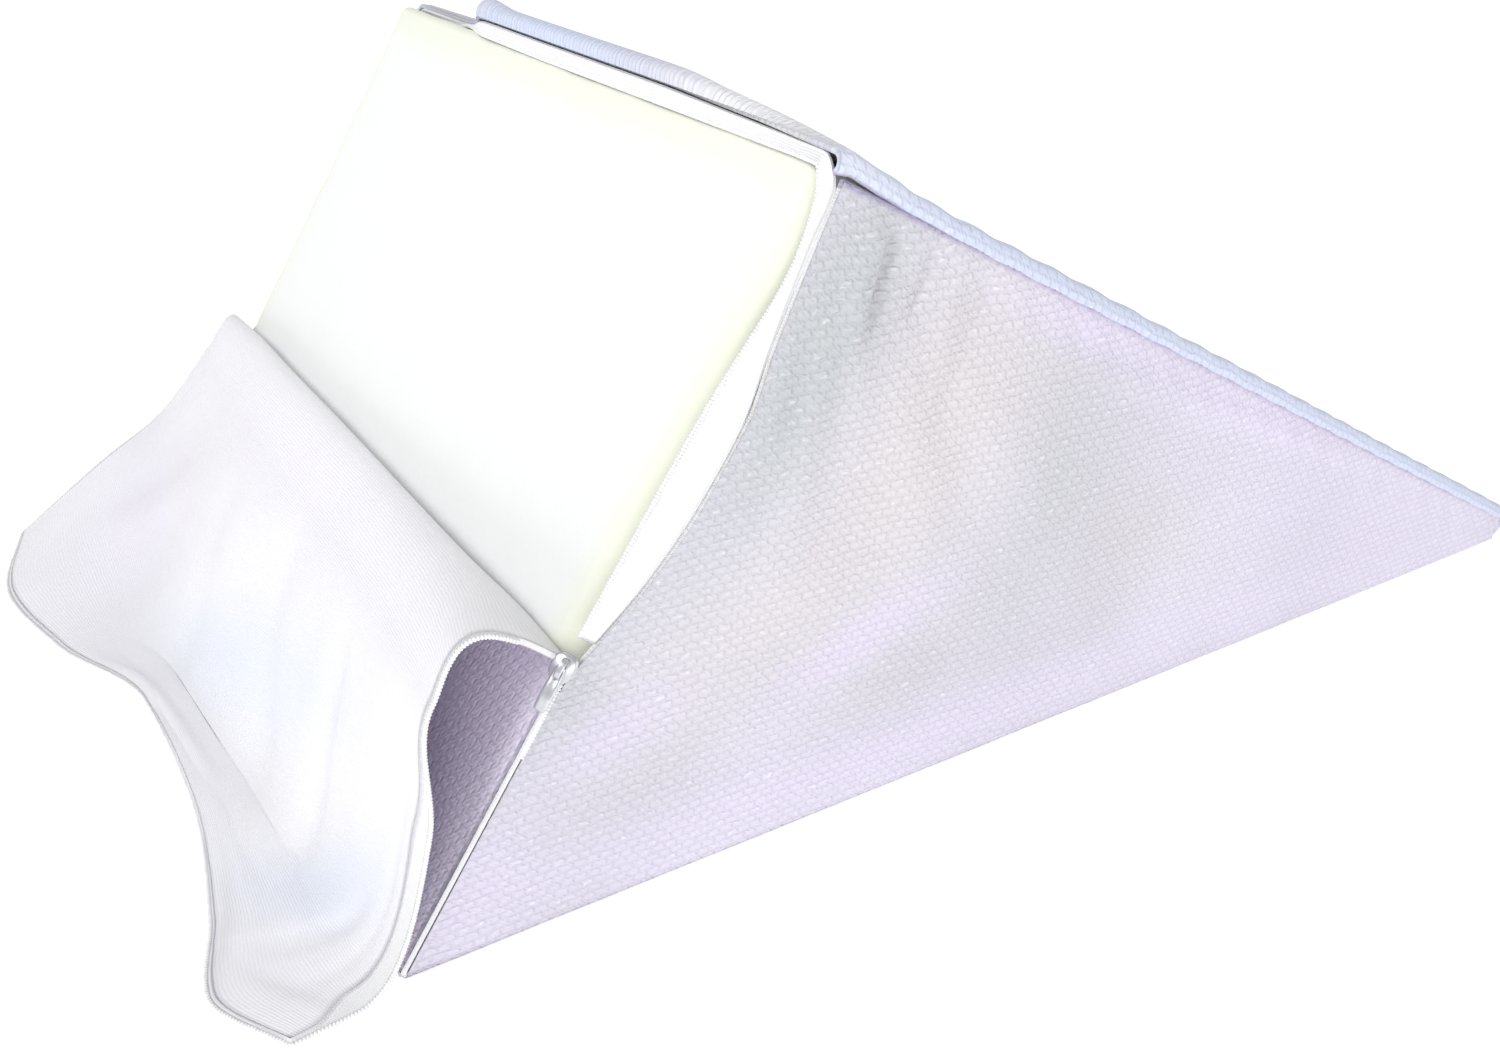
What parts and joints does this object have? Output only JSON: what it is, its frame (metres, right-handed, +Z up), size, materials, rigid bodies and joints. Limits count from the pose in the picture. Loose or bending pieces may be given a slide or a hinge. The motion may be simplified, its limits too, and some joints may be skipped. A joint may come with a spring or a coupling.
{
  "type": "wedge pillow with opened zip cover",
  "caption": "Wedge-shaped foam pillow resting on its longest face, its knit cover unzipped at the tall end with that panel folded down to show the foam.",
  "frame": {"origin": "on the underside of the base panel, at half the width and halfway from the bottom seam to where the thin edge would be if it were sharp", "axes": "+X towards the thin edge, +Y across the width away from the slider's side, +Z up"},
  "size_m": [0.6922, 0.4486, 0.2627],
  "materials": {
    "knit_cover": "matte raised knit",
    "opened_knit": "matte knit, inner side",
    "foam": "matte fine foam",
    "tape": "fine woven zip tape",
    "zip_metal": "satin"
  },
  "bodies": {
    "root": {"foam_core": "foam", "base_panel": "knit_cover", "top_panel": "knit_cover", "side_panel_near": "knit_cover", "side_panel_far": "knit_cover", "opened_panel": "opened_knit", "zip_tape_flap": "tape", "zip_tape_cover": "tape", "zip_slider": "zip_metal", "zip_pull": "zip_metal"}
  },
  "joints": []
}
